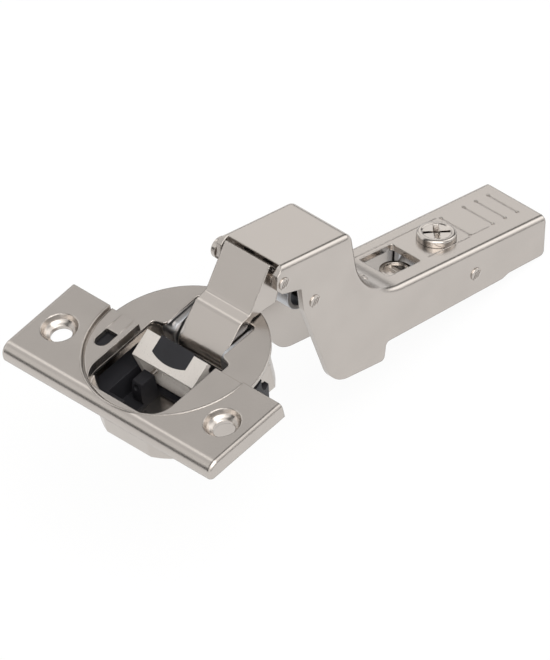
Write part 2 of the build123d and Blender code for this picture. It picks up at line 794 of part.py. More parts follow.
# Closing spring: wire coils on the arm's front pin in the gaps between the knuckles
coil_radius = arm_front_pin_radius + spring_gap + spring_wire / 2
coil_pitch = spring_wire * coil_overlap
with BuildPart() as closing_spring:
    for (_, low), (high, _) in zip(knuckle_spans[:-1], knuckle_spans[1:]):
        turns = int((high - low - spring_wire) / coil_pitch) + 1
        for turn in range(turns):
            coil_y = (low + high) / 2 + (turn - (turns - 1) / 2) * coil_pitch
            with BuildSketch(arm_top.offset(outer_arm_pivot[1])):
                with Locations((outer_arm_pivot[0] + coil_radius, coil_y)):
                    Circle(spring_wire / 2)
            coil_axis = Axis(outer_arm_point, (0, 1, 0))
            revolve(axis=coil_axis)
        leg_start = arm_side.from_local_coords(
            (outer_arm_pivot[0] - spring_wire, outer_arm_pivot[1] + coil_radius - spring_leg_lap, -coil_y)
        )
        with BuildSketch(Plane(origin=leg_start, z_dir=arm_side.x_dir)):
            Circle(spring_wire / 2)
        extrude(amount=spring_leg_length + spring_wire)
closing_spring.part.label = "closing_spring"
export_step(closing_spring.part, "parts/closing_spring.step")


# Carrier: the adjustable inner plate that hooks onto a mounting plate
carrier_top = channel_top - arm_sheet - carrier_gap
with BuildPart() as carrier:
    with BuildSketch(arm_side):
        with BuildLine():
            Polyline(
                (carrier_rear, carrier_top - carrier_sheet / 2),
                (carrier_step + tongue_drop, carrier_top - carrier_sheet / 2),
                (carrier_step, carrier_top - tongue_drop - carrier_sheet / 2),
                (carrier_front, carrier_top - tongue_drop - carrier_sheet / 2),
                (carrier_front, carrier_low + carrier_sheet / 2),
                (carrier_front - hook_length, carrier_low + carrier_sheet / 2),
            )
        trace(line_width=carrier_sheet)
    extrude(amount=tongue_half_width, both=True)
    with BuildSketch(arm_top.offset(carrier_top)):
        with Locations((carrier_rear, 0)):
            Rectangle(
                carrier_rear - carrier_step - tongue_drop,
                2 * carrier_half_width,
                align=(Align.MAX, Align.CENTER),
            )
    extrude(amount=-carrier_sheet)
    for outside in (-carrier_half_width, carrier_half_width - carrier_sheet):
        with BuildSketch(arm_side.offset(outside)):
            with Locations((carrier_cheek_back, carrier_low)):
                Rectangle(
                    carrier_cheek_back - carrier_step - tongue_drop,
                    carrier_top - carrier_low,
                    align=(Align.MAX, Align.MIN),
                )
        extrude(amount=carrier_sheet)
    with BuildSketch(arm_top.offset(carrier_top)):
        with Locations((screw_place, 0)):
            Circle(screw_shank / 2 + pivot_clearance)
        with Locations((cam_place, 0)):
            Circle(cam_stud_radius + pivot_clearance)
    extrude(amount=-carrier_sheet - tongue_drop, mode=Mode.SUBTRACT)
carrier.part.label = "carrier"
export_step(carrier.part, "parts/carrier.step")


# Depth cam: a rimmed disc on the tongue, seen through the square opening
tongue_top = carrier_top - tongue_drop
with BuildPart() as depth_cam:
    with BuildSketch(arm_top.offset(tongue_top + pivot_clearance)):
        with Locations((cam_place, 0)):
            Circle(cam_radius)
    extrude(amount=cam_height)
    with BuildSketch(arm_top.offset(tongue_top + pivot_clearance + cam_height)):
        with Locations((cam_place, 0)):
            Circle(cam_radius - cam_rim)
            Rectangle(cross_width, 2 * (cam_radius - 1.5 * cam_rim), mode=Mode.SUBTRACT)
    extrude(amount=-cam_rim / 2, mode=Mode.SUBTRACT)
    with BuildSketch(arm_top.offset(tongue_top + pivot_clearance)):
        with Locations((cam_place, 0)):
            Circle(cam_stud_radius)
    extrude(amount=-carrier_sheet - 2 * pivot_clearance)
    with BuildSketch(arm_top.offset(tongue_top - carrier_sheet - pivot_clearance)):
        with Locations((cam_place, 0)):
            Circle(cam_stud_radius + cam_rim)
    extrude(amount=-cam_rim)
depth_cam.part.label = "depth_cam"
export_step(depth_cam.part, "parts/depth_cam.step")


# Side screw: a raised head with a cross recess, threaded into the carrier
with BuildPart() as side_screw:
    with BuildSketch(arm_top.offset(channel_top + pivot_clearance)):
        with Locations((screw_place, 0)):
            Circle(screw_head_diameter / 2)
    extrude(amount=screw_head_height)
    screw_crown = side_screw.faces().filter_by(Plane(origin=(0, 0, 0), z_dir=arm_top.z_dir)).sort_by(
        Axis((0, 0, 0), arm_top.z_dir)
    )
    fillet(screw_crown[-1].edges(), screw_head_round)
    with BuildSketch(arm_top.offset(channel_top + pivot_clearance)):
        with Locations((screw_place, 0)):
            Circle(screw_shank / 2)
    extrude(amount=screw_end - channel_top - pivot_clearance)
    with BuildSketch(arm_top.offset(channel_top + pivot_clearance + screw_head_height)):
        with Locations((screw_place, 0)):
            Rectangle(cross_length, cross_width)
            Rectangle(cross_width, cross_length)
    extrude(amount=-cross_depth, mode=Mode.SUBTRACT)
side_screw.part.label = "side_screw"
export_step(side_screw.part, "parts/side_screw.step")


# Clip lever: a rear finger plate between two cheeks with hooks, on its own pin
with BuildPart() as clip_lever:
    for outside in (-clip_half_width, clip_half_width - clip_sheet):
        with BuildSketch(arm_side.offset(outside)):
            with BuildLine():
                Polyline(*clip_outline, close=True)
            make_face()
            with Locations(clip_pivot):
                Circle(clip_boss_radius)
        extrude(amount=clip_sheet)
    with BuildSketch(arm_side):
        with BuildLine():
            Line(clip_plate_front, clip_rear)
        trace(line_width=clip_sheet)
    extrude(amount=clip_half_width, both=True)
    with BuildSketch(arm_side):
        with Locations(clip_pivot):
            Circle(clip_pin_radius + pivot_clearance)
    extrude(amount=clip_half_width, both=True, mode=Mode.SUBTRACT)
clip_lever.part.label = "clip_lever"
export_step(clip_lever.part, "parts/clip_lever.step")


# Clip spring: coils on the lever's pin with a leg on the finger plate
clip_coil_radius = clip_pin_radius + spring_gap + clip_spring_wire / 2
clip_point = arm_side.from_local_coords((clip_pivot[0], clip_pivot[1], 0))
clip_turns = int((2 * clip_spring_half - clip_spring_wire) / (clip_spring_wire * coil_overlap)) + 1
with BuildPart() as clip_spring:
    for turn in range(clip_turns):
        coil_y = (turn - (clip_turns - 1) / 2) * clip_spring_wire * coil_overlap
        with BuildSketch(arm_top.offset(clip_pivot[1])):
            with Locations((clip_pivot[0] + clip_coil_radius, coil_y)):
                Circle(clip_spring_wire / 2)
        revolve(axis=Axis(clip_point, (0, 1, 0)))
    leg_start = arm_side.from_local_coords((clip_pivot[0], clip_pivot[1] + clip_coil_radius, -coil_y))
    leg_rise = clip_sheet / 2 + clip_spring_wire / 2 + pivot_clearance
    leg_end = arm_side.from_local_coords((clip_spring_leg[0], clip_spring_leg[1] + leg_rise, -coil_y))
    with BuildSketch(Plane(origin=leg_start, z_dir=leg_end - leg_start)):
        Circle(clip_spring_wire / 2)
    extrude(amount=(leg_end - leg_start).length)
clip_spring.part.label = "clip_spring"
export_step(clip_spring.part, "parts/clip_spring.step")
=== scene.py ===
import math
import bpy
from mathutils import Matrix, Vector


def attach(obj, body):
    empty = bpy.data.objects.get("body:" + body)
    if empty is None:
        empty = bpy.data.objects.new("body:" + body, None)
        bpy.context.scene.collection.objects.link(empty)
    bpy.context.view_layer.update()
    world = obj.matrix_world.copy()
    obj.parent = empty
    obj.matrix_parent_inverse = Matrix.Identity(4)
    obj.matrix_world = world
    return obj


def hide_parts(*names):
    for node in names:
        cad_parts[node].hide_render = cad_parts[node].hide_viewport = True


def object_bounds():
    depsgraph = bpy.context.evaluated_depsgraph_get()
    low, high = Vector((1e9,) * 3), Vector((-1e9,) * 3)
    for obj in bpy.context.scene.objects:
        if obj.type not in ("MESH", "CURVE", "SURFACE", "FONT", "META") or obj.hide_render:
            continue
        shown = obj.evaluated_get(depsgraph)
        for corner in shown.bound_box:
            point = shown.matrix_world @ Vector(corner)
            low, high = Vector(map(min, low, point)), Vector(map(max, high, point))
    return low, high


bl_info = {
    "name": "Concealed Cup Hinge",
    "version": (1, 0, 0),
    "blender": (4, 5, 0),
    "location": "3D View > Sidebar > Cup Hinge",
    "description": "Dresses the packed cup hinge with its finishes, small details, lights and camera",
    "category": "Object",
}

import bmesh
import bpy
from mathutils import Matrix, Vector

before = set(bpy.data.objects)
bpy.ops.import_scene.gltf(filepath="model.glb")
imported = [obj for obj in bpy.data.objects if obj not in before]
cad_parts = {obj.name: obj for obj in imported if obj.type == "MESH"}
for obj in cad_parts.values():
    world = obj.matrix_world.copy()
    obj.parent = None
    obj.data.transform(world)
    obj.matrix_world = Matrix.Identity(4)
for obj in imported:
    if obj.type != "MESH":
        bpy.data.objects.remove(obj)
CAD_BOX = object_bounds()

MM = 0.001
ARM_TILT = math.radians(18.8)
ARM_FRAME = Matrix.Translation((0, 0, 3.3 * MM)) @ Matrix.Rotation(ARM_TILT, 4, "Y")
DOOR_FRAME = Matrix.Identity(4)

# Places in the arm's own frame, in millimetres: x along the arm, z out of its top
REAR_TOP = -4.49
SIDE_WALL = 8.47
FRONT_PIN = (20.9, 9.7)
REAR_PIN = (29.89, 2.13)
CLIP_PIN = (75.25, -9.98)
SCREW_PLACE = 72.3
CREASES = (
    ((54.5, 5.15), (77.4, 5.15)),
    ((66.0, -4.0), (77.6, -4.0)),
    ((78.4, -3.75), (83.2, -3.75)),
)
RIB_PLACES = (78.2, 84.5, 87.9, 91.3)
RIB_ENDS = (-3.5, 4.6)

# Oval dimple in the foot of the crank, on a slope
DIMPLE_PLACE = (50.3, -1.7, -3.70)
DIMPLE_SLOPE = math.radians(20.2)
DIMPLE_RADIUS = 0.8
DIMPLE_LIP = 0.22
DIMPLE_STRETCH = (0.8, 1.2, 0.6)

# Peened pin ends: discs with three chisel marks, each moved by the step along x and z
PEEN_DEPTH = 0.6
PEEN_EDGE = 0.12
CHISEL_STEP = (0.62, 0.2)
CHISEL_TURN = math.radians(24)
CHISEL_SIZE = (0.26, 0.44, 1.9)

# Side screw: head, neck, turned rim and groove, and the two wedges of the cross recess
HEAD_SINK = 0.05
HEAD_HEIGHT = 1.5
HEAD_EDGE = 0.55
NECK_INSET = 1.5
NECK_LENGTH = 3.4
RIM_WIDTH = 0.35
GROOVE_WIDTH = 0.25
GROOVE_DEPTH = 0.14
RECESS_SIZE = (7.0, 1.25)
RECESS_TAPER = (0.66, 0.5, 1)
RECESS_CUTS = ((math.radians(-38), 4.0), (math.radians(52), 3.8))

# Closing spring: where its two coils lie along the pin
COIL_SPANS = ((-4.45, -1.65), (0.85, 3.55))
COIL_RADIUS = 1.67
COIL_TURNS = 3
COIL_LEG = 6.8

# The wing plate and its sunk field, in the door's frame
PLATE_TOP = 3.3
FIELD_TOP = 2.7
FIELD_RADIUS = 18.4
FIELD_CREASES = (11.9, 15.1)
FIELD_CREASE_ENDS = (-3.6, 0.3)

# Rounded edge round the field: its place and radius in bead widths, how flat it is pressed, and the x in
# millimetres where it ends, just inside the plate's back edge
FIELD_EDGE_OUT = 0.6
FIELD_EDGE_RADIUS = 0.8
FIELD_EDGE_FLATNESS = 0.45
FIELD_EDGE_END = 0.05

# The floor in metres, and how much of its white glow the camera and the metal see
FLOOR_SIZE = 12
FLOOR_DROP = 0.5 * MM
FLOOR_TONE = 0.86
FLOOR_SEEN = 0.93
FLOOR_MIRRORED = 0.72

# The lamps in metres: name, place, size, share of the lamp power and colour, and the point that they face
LAMP_AIM = (0.03, 0, -0.01)
LAMPS = (
    ("key_lamp", (-0.15, -0.6, 0.65), 0.9, 1.0, (1.0, 0.98, 0.95)),
    ("fill_lamp", (-0.75, -0.2, 0.3), 0.8, 0.3, (1.0, 0.99, 0.97)),
)

# How far across and up the picture the camera aims from the arm's origin, in millimetres
CAMERA_AIM = (19.486, 2.993)

# Brightness of the tent of light as (place, tone) stops. Places run from 0 to 1: the depth from -Y to +Y,
# the breadth from -X to +X, and the height from the horizon up
TENT_STRENGTH = 2.0
TENT_TINT = (1.0, 0.99, 0.975)
TENT_BY_DEPTH = (
    (0.0, 0.40),
    (0.22, 0.55),
    (0.30, 0.98),
    (0.51, 0.98),
    (0.58, 0.09),
    (0.73, 0.09),
    (0.775, 0.69),
    (0.92, 0.60),
)
TENT_BY_BREADTH = (
    (0.06, 0.10),
    (0.125, 0.12),
    (0.15, 1.15),
    (0.17, 1.0),
    (0.195, 0.78),
    (0.25, 0.95),
    (0.34, 0.72),
    (0.49, 0.76),
    (0.53, 1.5),
    (0.59, 1.4),
    (0.64, 0.72),
    (0.705, 0.58),
    (0.86, 1.0),
)
TENT_BY_HEIGHT = ((0.0, 0.12), (0.08, 0.06), (0.17, 1.0))

# What each finish is made of: its tint names a setting, and its edge is a share of the edge width
RECIPES = {
    "nickel_steel": {
        "title": "Satin Nickel",
        "tint": "nickel",
        "metallic": 1.0,
        "roughness": 0.25,
        "grain": 3800.0,
        "spread": 0.03,
        "bump": 0.10,
        "edge": 1.0,
    },
    "bearing_steel": {
        "title": "Cool Zinc",
        "tint": "zinc",
        "metallic": 1.0,
        "roughness": 0.33,
        "grain": 3000.0,
        "spread": 0.06,
        "bump": 0.14,
        "edge": 1.0,
    },
    "pin_steel": {
        "title": "Drawn Pin Steel",
        "tint": "nickel",
        "metallic": 1.0,
        "roughness": 0.20,
        "grain": 4200.0,
        "spread": 0.05,
        "bump": 0.06,
        "edge": 0.5,
    },
    "spring_steel": {
        "title": "Oiled Spring Wire",
        "tint": "spring",
        "metallic": 1.0,
        "roughness": 0.34,
        "grain": 3600.0,
        "spread": 0.12,
        "bump": 0.10,
        "edge": 0.0,
    },
    "screw_nickel": {
        "title": "Bright Screw Nickel",
        "tint": "nickel",
        "metallic": 1.0,
        "roughness": 0.16,
        "grain": 4200.0,
        "spread": 0.05,
        "bump": 0.05,
        "edge": 0.5,
    },
    "lever_zinc": {
        "title": "Pale Cast Lever",
        "tint": "lever",
        "metallic": 0.25,
        "roughness": 0.42,
        "grain": 3400.0,
        "spread": 0.03,
        "bump": 0.25,
        "edge": 0.5,
        "speckle": 0.28,
    },
    "dark_plastic": {
        "title": "Dark Moulding",
        "tint": "plastic",
        "metallic": 0.0,
        "roughness": 0.46,
        "grain": 5200.0,
        "spread": 0.15,
        "bump": 0.22,
        "edge": 0.5,
        "shine": 0.25,
    },
}
CLOUD_SCALE = 140.0
SPECKLE_SCALE = 2600.0
BUMP_DEPTH = 0.02 * MM

NODE_FINISHES = {
    "nickel_steel": ("cup", "wing_plate", "outer_link", "arm"),
    "bearing_steel": ("link_bearing", "inner_link", "carrier", "clip_lever"),
    "pin_steel": (
        "outer_link_pin",
        "inner_link_pin",
        "lever_pin",
        "arm_front_pin",
        "arm_rear_pin",
        "clip_lever_pin",
        "damper_rod",
    ),
    "spring_steel": ("closing_spring", "clip_spring"),
    "screw_nickel": ("side_screw", "depth_cam"),
    "lever_zinc": ("damper_lever",),
    "dark_plastic": ("side_case", "damper_housing", "lever_insert", "damper_switch"),
}


# Settings


class CupHingeFinish(bpy.types.PropertyGroup):
    """Colours and surface sizes of the hinge's finishes."""

    nickel: bpy.props.FloatVectorProperty(
        name="Nickel",
        description="Colour of the nickel plate",
        subtype="COLOR",
        default=(0.50, 0.465, 0.435),
    )
    zinc: bpy.props.FloatVectorProperty(
        name="Zinc",
        description="Colour of the cool zinc plate",
        subtype="COLOR",
        default=(0.50, 0.51, 0.53),
    )
    lever: bpy.props.FloatVectorProperty(
        name="Lever",
        description="Colour of the pale lever",
        subtype="COLOR",
        default=(0.55, 0.52, 0.49),
    )
    plastic: bpy.props.FloatVectorProperty(
        name="Plastic",
        description="Colour of the dark mouldings",
        subtype="COLOR",
        default=(0.016, 0.016, 0.019),
    )
    spring: bpy.props.FloatVectorProperty(
        name="Spring",
        description="Colour of the oiled spring wire",
        subtype="COLOR",
        default=(0.13, 0.125, 0.12),
    )
    edge_width: bpy.props.FloatProperty(
        name="Edge Width",
        description="Softening of the pressed edges",
        subtype="DISTANCE",
        default=0.4 * MM,
    )


class CupHingeDetail(bpy.types.PropertyGroup):
    """Sizes of the small modelled details."""

    bead_width: bpy.props.FloatProperty(
        name="Bead Width",
        description="Width of the creases pressed in the sheet",
        subtype="DISTANCE",
        default=0.3 * MM,
    )
    bead_height: bpy.props.FloatProperty(
        name="Bead Height",
        description="Height of the creases",
        subtype="DISTANCE",
        default=0.07 * MM,
    )
    nub_radius: bpy.props.FloatProperty(
        name="Nub Radius",
        description="Radius of the marks at the cross lines' ends",
        subtype="DISTANCE",
        default=0.38 * MM,
    )
    peen_radius: bpy.props.FloatProperty(
        name="Peening Radius",
        description="Radius of a pin's peened end",
        subtype="DISTANCE",
        default=1.35 * MM,
    )
    screw_radius: bpy.props.FloatProperty(
        name="Screw Head Radius",
        description="Radius of the side screw's head",
        subtype="DISTANCE",
        default=4.0 * MM,
    )
    wire_radius: bpy.props.FloatProperty(
        name="Wire Radius",
        description="Radius of the closing spring's wire",
        subtype="DISTANCE",
        default=0.35 * MM,
    )


class CupHingeView(bpy.types.PropertyGroup):
    """Where the camera stands, in the arm's frame, and how bright the lamps are."""

    azimuth: bpy.props.FloatProperty(
        name="Azimuth",
        description="Turn of the camera round the hinge",
        subtype="ANGLE",
        default=math.radians(-46.61),
    )
    elevation: bpy.props.FloatProperty(
        name="Elevation",
        description="Height angle of the camera",
        subtype="ANGLE",
        default=math.radians(32.0),
    )
    roll: bpy.props.FloatProperty(
        name="Roll",
        description="Turn of the picture",
        subtype="ANGLE",
        default=math.radians(3.42),
    )
    distance: bpy.props.FloatProperty(
        name="Distance",
        description="Distance of the camera",
        subtype="DISTANCE",
        default=5.0,
    )
    focal_length: bpy.props.FloatProperty(
        name="Focal Length",
        description="Lens of the camera in millimetres",
        default=1407.8,
    )
    lamp_power: bpy.props.FloatProperty(
        name="Lamp Power",
        description="Power of the main soft lamp",
        subtype="POWER",
        default=5.0,
    )


# Finishes


def node(tree, kind, inputs=None, **values):
    """Adds a shader node, sets its values and links or sets its inputs."""
    made = tree.nodes.new(kind)
    for name, value in values.items():
        setattr(made, name, value)
    for name, value in (inputs or {}).items():
        if isinstance(value, bpy.types.NodeSocket):
            tree.links.new(value, made.inputs[name])
        else:
            made.inputs[name].default_value = value
    return made


def shade(colour, factor):
    """A colour made lighter or darker, with full alpha."""
    return tuple(min(1.0, part * factor) for part in colour) + (1.0,)


def grey(tone):
    """A grey with full alpha. It may be brighter than white."""
    return (tone, tone, tone, 1)


def ramp(tree, factor, stops):
    """A colour ramp with the given (place, colour) stops."""
    made = node(tree, "ShaderNodeValToRGB", {"Fac": factor})
    elements = made.color_ramp.elements
    while len(elements) < len(stops):
        elements.new(0.5)
    for element, (place, colour) in zip(elements, stops):
        element.position = place
        element.color = colour
    return made.outputs["Color"]


def finish(
    title,
    colour,
    metallic,
    roughness,
    grain,
    spread,
    bump,
    edge,
    speckle=0.0,
    shine=0.5,
):
    """A procedural finish: cloudy tone, uneven gloss, fine grain and softened edges."""
    material = bpy.data.materials.new(title)
    material.use_nodes = True
    tree = material.node_tree
    shader = tree.nodes["Principled BSDF"]
    place = node(tree, "ShaderNodeTexCoord").outputs["Object"]
    cloud = node(tree, "ShaderNodeTexNoise", {"Vector": place, "Scale": CLOUD_SCALE, "Detail": 3.0})
    tone = ramp(
        tree,
        cloud.outputs["Fac"],
        [(0.3, shade(colour, 1 - spread)), (0.7, shade(colour, 1 + spread))],
    )
    if speckle:
        dots = node(tree, "ShaderNodeTexVoronoi", {"Vector": place, "Scale": SPECKLE_SCALE})
        mask = ramp(tree, dots.outputs["Distance"], [(0.10, grey(1)), (0.22, grey(0))])
        tone = node(
            tree,
            "ShaderNodeMix",
            {"Factor": mask, "A": tone, "B": shade(colour, 1 - speckle)},
            data_type="RGBA",
        ).outputs[2]
    tree.links.new(tone, shader.inputs["Base Color"])
    shader.inputs["Metallic"].default_value = metallic
    shader.inputs["Specular IOR Level"].default_value = shine
    gloss = node(
        tree,
        "ShaderNodeMapRange",
        {"Value": cloud.outputs["Fac"], "To Min": roughness * 0.85, "To Max": roughness * 1.15},
    )
    tree.links.new(gloss.outputs["Result"], shader.inputs["Roughness"])
    fine = node(tree, "ShaderNodeTexNoise", {"Vector": place, "Scale": grain, "Detail": 2.0})
    relief = node(
        tree,
        "ShaderNodeBump",
        {"Height": fine.outputs["Fac"], "Strength": bump, "Distance": BUMP_DEPTH},
    )
    if edge:
        soft = node(tree, "ShaderNodeBevel", {"Radius": edge}, samples=6)
        tree.links.new(soft.outputs["Normal"], relief.inputs["Normal"])
    tree.links.new(relief.outputs["Normal"], shader.inputs["Normal"])
    return material


def make_finishes(setting):
    """All seven finishes by the name of the record's slot."""
    made = {}
    for slot, recipe in RECIPES.items():
        values = dict(recipe)
        colour = getattr(setting, values.pop("tint"))
        edge = values.pop("edge") * setting.edge_width
        made[slot] = finish(colour=colour, edge=edge, **values)
    return made


FINISHES = {}


def paint(piece, slot):
    """Gives a piece the finish of one of the record's slots."""
    piece.data.materials.clear()
    piece.data.materials.append(FINISHES[slot])


# Modelling helpers


def deselect():
    """Leaves edit mode and clears the selection."""
    if bpy.context.object and bpy.context.object.mode != "OBJECT":
        bpy.ops.object.mode_set(mode="OBJECT")
    bpy.ops.object.select_all(action="DESELECT")


def select_faces(piece, wanted):
    """Selects the faces for which wanted(centre, normal) is true, in face mode."""
    bpy.ops.mesh.select_mode(type="FACE")
    bpy.ops.mesh.select_all(action="DESELECT")
    mesh = bmesh.from_edit_mesh(piece.data)
    for face in mesh.faces:
        face.select_set(bool(wanted(face.calc_center_median(), face.normal)))
    mesh.select_flush_mode()
    bmesh.update_edit_mesh(piece.data)


def select_edges(piece, wanted):
    """Selects the edges for which wanted(middle, direction) is true, in edge mode."""
    bpy.ops.mesh.select_mode(type="EDGE")
    bpy.ops.mesh.select_all(action="DESELECT")
    mesh = bmesh.from_edit_mesh(piece.data)
    for edge in mesh.edges:
        first, last = (corner.co for corner in edge.verts)
        edge.select_set(bool(wanted((first + last) / 2, (last - first).normalized())))
    mesh.select_flush_mode()
    bmesh.update_edit_mesh(piece.data)


def added(name):
    """The object just added, renamed, with its turn and scale in its mesh, in edit mode."""
    piece = bpy.context.object
    piece.name = name
    bpy.ops.object.transform_apply(location=False, rotation=True, scale=True)
    bpy.ops.object.mode_set(mode="EDIT")
    return piece


def bake_place(piece, place):
    """Puts the piece's place into its mesh, so that its object sits at the origin."""
    bpy.ops.object.mode_set(mode="OBJECT")
    piece.data.transform(place @ piece.matrix_world)
    piece.matrix_world = Matrix.Identity(4)
    piece.data.update()


def settle(piece, body, slot, angle=30):
    """Smooths, paints and attaches a finished piece."""
    deselect()
    piece.select_set(True)
    bpy.context.view_layer.objects.active = piece
    bpy.ops.object.shade_smooth_by_angle(angle=math.radians(angle))
    paint(piece, slot)
    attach(piece, body)
    deselect()
    return piece


def joined(pieces, name):
    """Joins finished meshes into one piece."""
    deselect()
    for piece in pieces:
        piece.select_set(True)
    bpy.context.view_layer.objects.active = pieces[0]
    if len(pieces) > 1:
        bpy.ops.object.join()
    pieces[0].name = name
    return pieces[0]


def bead(name, start, end, width, height, place):
    """A low rounded bead from start to end, standing on the plane z of start."""
    first, last = Vector(start) * MM, Vector(end) * MM
    run = last - first
    deselect()
    bpy.ops.mesh.primitive_cube_add(
        size=1,
        location=(first + last) / 2,
        rotation=(0, 0, math.atan2(run.y, run.x)),
        scale=(run.length, width, 2 * height),
    )
    piece = added(name)
    select_edges(piece, lambda middle, way: middle.z > 0.9 * height)
    bpy.ops.mesh.bevel(offset=0.7 * height, segments=3, affect="EDGES")
    bake_place(piece, place)
    return piece


def cut(piece, cutter):
    """Cuts one mesh from another with an applied boolean, and removes the cutter."""
    deselect()
    bpy.context.view_layer.objects.active = piece
    piece.select_set(True)
    modifier = piece.modifiers.new("Cut", "BOOLEAN")
    modifier.operation = "DIFFERENCE"
    modifier.solver = "EXACT"
    modifier.object = cutter
    bpy.ops.object.modifier_apply(modifier=modifier.name)
    bpy.data.objects.remove(cutter)


def coil(name, radius, wire, pitch, turns, start, leg, place):
    """A wire coil about the axis y, with one straight leg along x from its top."""
    deselect()
    bpy.ops.mesh.primitive_circle_add(
        vertices=12,
        radius=wire,
        fill_type="NOTHING",
        location=(0, 0, 0),
        rotation=(math.pi / 2, 0, math.pi / 2),
    )
    piece = added(name)
    bpy.ops.mesh.select_all(action="SELECT")
    bpy.ops.transform.translate(value=(0, 0, radius))
    bpy.ops.object.mode_set(mode="OBJECT")
    modifier = piece.modifiers.new("Turns", "SCREW")
    modifier.axis = "Y"
    modifier.angle = 2 * math.pi * turns
    modifier.screw_offset = pitch * turns
    modifier.steps = int(28 * turns)
    modifier.render_steps = modifier.steps
    modifier.use_merge_vertices = False
    bpy.ops.object.modifier_apply(modifier=modifier.name)
    bpy.ops.object.mode_set(mode="EDIT")
    # The leg runs on from the first ring, and both ends are closed
    bpy.ops.mesh.select_mode(type="VERT")
    bpy.ops.mesh.select_all(action="DESELECT")
    mesh = bmesh.from_edit_mesh(piece.data)
    mesh.verts.ensure_lookup_table()
    for corner in mesh.verts:
        near = (corner.co - Vector((0, 0, radius))).length < 1.05 * wire
        corner.select_set(near and abs(corner.co.x) < 1e-6 and corner.is_boundary)
    mesh.select_flush_mode()
    bmesh.update_edit_mesh(piece.data)
    bpy.ops.mesh.extrude_region_move(TRANSFORM_OT_translate={"value": (leg, 0, 0)})
    bpy.ops.mesh.edge_face_add()
    bpy.ops.mesh.select_all(action="SELECT")
    bpy.ops.mesh.fill_holes(sides=0)
    bpy.ops.mesh.normals_make_consistent(inside=False)
    piece.location = start
    bpy.context.view_layer.update()
    bake_place(piece, place)
    return piece


# Floor, light and camera


def floor_material():
    """A plain white floor that keeps a soft shadow and looks white to the camera and in metal."""
    material = bpy.data.materials.new("Pale Floor")
    material.use_nodes = True
    tree = material.node_tree
    shader = tree.nodes["Principled BSDF"]
    shader.inputs["Base Color"].default_value = grey(FLOOR_TONE)
    shader.inputs["Roughness"].default_value = 0.9
    shader.inputs["Specular IOR Level"].default_value = 0.1
    path = node(tree, "ShaderNodeLightPath")
    seen = node(
        tree,
        "ShaderNodeMath",
        {0: path.outputs["Is Camera Ray"], 1: FLOOR_SEEN},
        operation="MULTIPLY",
    )
    mirrored = node(
        tree,
        "ShaderNodeMath",
        {0: path.outputs["Is Glossy Ray"], 1: FLOOR_MIRRORED},
        operation="MULTIPLY",
    )
    share = node(
        tree,
        "ShaderNodeMath",
        {0: seen.outputs[0], 1: mirrored.outputs[0]},
        operation="MAXIMUM",
    )
    glow = node(tree, "ShaderNodeEmission", {"Color": grey(1), "Strength": 1.0})
    mix = node(
        tree,
        "ShaderNodeMixShader",
        {"Fac": share.outputs[0], 1: shader.outputs[0], 2: glow.outputs[0]},
    )
    tree.links.new(mix.outputs[0], tree.nodes["Material Output"].inputs["Surface"])
    return material


def light_world(scene):
    """A white world to the camera, and a soft tent with darker gaps to the metal."""
    world = bpy.data.worlds.new("Studio Tent")
    scene.world = world
    world.use_nodes = True
    tree = world.node_tree
    tree.nodes.clear()
    way = node(tree, "ShaderNodeTexCoord").outputs["Generated"]
    split = node(tree, "ShaderNodeSeparateXYZ", {"Vector": way})
    product = None
    for axis, lowest, stops, tint in (
        ("Y", -1.0, TENT_BY_DEPTH, TENT_TINT),
        ("X", -1.0, TENT_BY_BREADTH, (1, 1, 1)),
        ("Z", 0.0, TENT_BY_HEIGHT, (1, 1, 1)),
    ):
        place = node(
            tree,
            "ShaderNodeMapRange",
            {"Value": split.outputs[axis], "From Min": lowest, "From Max": 1.0},
        )
        colours = [(at, tuple(tone * part for part in tint) + (1,)) for at, tone in stops]
        tone = ramp(tree, place.outputs["Result"], colours)
        if product is None:
            product = tone
            continue
        product = node(
            tree,
            "ShaderNodeMix",
            {"Factor": 1.0, "A": product, "B": tone},
            data_type="RGBA",
            blend_type="MULTIPLY",
            clamp_result=False,
        ).outputs[2]
    lit = node(tree, "ShaderNodeBackground", {"Color": product, "Strength": TENT_STRENGTH})
    white = node(tree, "ShaderNodeBackground", {"Color": grey(1), "Strength": 1.0})
    path = node(tree, "ShaderNodeLightPath")
    mix = node(
        tree,
        "ShaderNodeMixShader",
        {"Fac": path.outputs["Is Camera Ray"], 1: lit.outputs[0], 2: white.outputs[0]},
    )
    out = node(tree, "ShaderNodeOutputWorld")
    tree.links.new(mix.outputs[0], out.inputs["Surface"])


def place_camera(scene, view):
    """Stands the camera at the photograph's angle, framed on the hinge."""
    azimuth, elevation, roll = view.azimuth, view.elevation, view.roll
    back = Vector(
        (
            math.sin(azimuth) * math.cos(elevation),
            -math.cos(azimuth) * math.cos(elevation),
            math.sin(elevation),
        )
    )
    right = Vector((math.cos(azimuth), math.sin(azimuth), 0))
    up = back.cross(right)
    across = math.cos(roll) * right + math.sin(roll) * up
    upward = -math.sin(roll) * right + math.cos(roll) * up
    aim_across, aim_up = CAMERA_AIM
    spot = aim_across * MM * across + aim_up * MM * upward + view.distance * back
    turn = Matrix((across, upward, back)).transposed().to_4x4()
    data = bpy.data.cameras.new("camera")
    data.sensor_width = 36
    data.lens = view.focal_length
    data.clip_end = 20
    camera = bpy.data.objects.new("camera", data)
    scene.collection.objects.link(camera)
    camera.matrix_world = ARM_FRAME @ Matrix.Translation(spot) @ turn
    scene.camera = camera


# Operators


class CUPHINGE_OT_finishes(bpy.types.Operator):
    """Gives every CAD node the finish of its slot"""

    bl_idname = "cuphinge.finishes"
    bl_label = "Finishes"

    def execute(self, context):
        FINISHES.update(make_finishes(context.scene.cup_hinge_finish))
        for slot, nodes in NODE_FINISHES.items():
            for name in nodes:
                paint(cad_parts[name], slot)
        return {"FINISHED"}


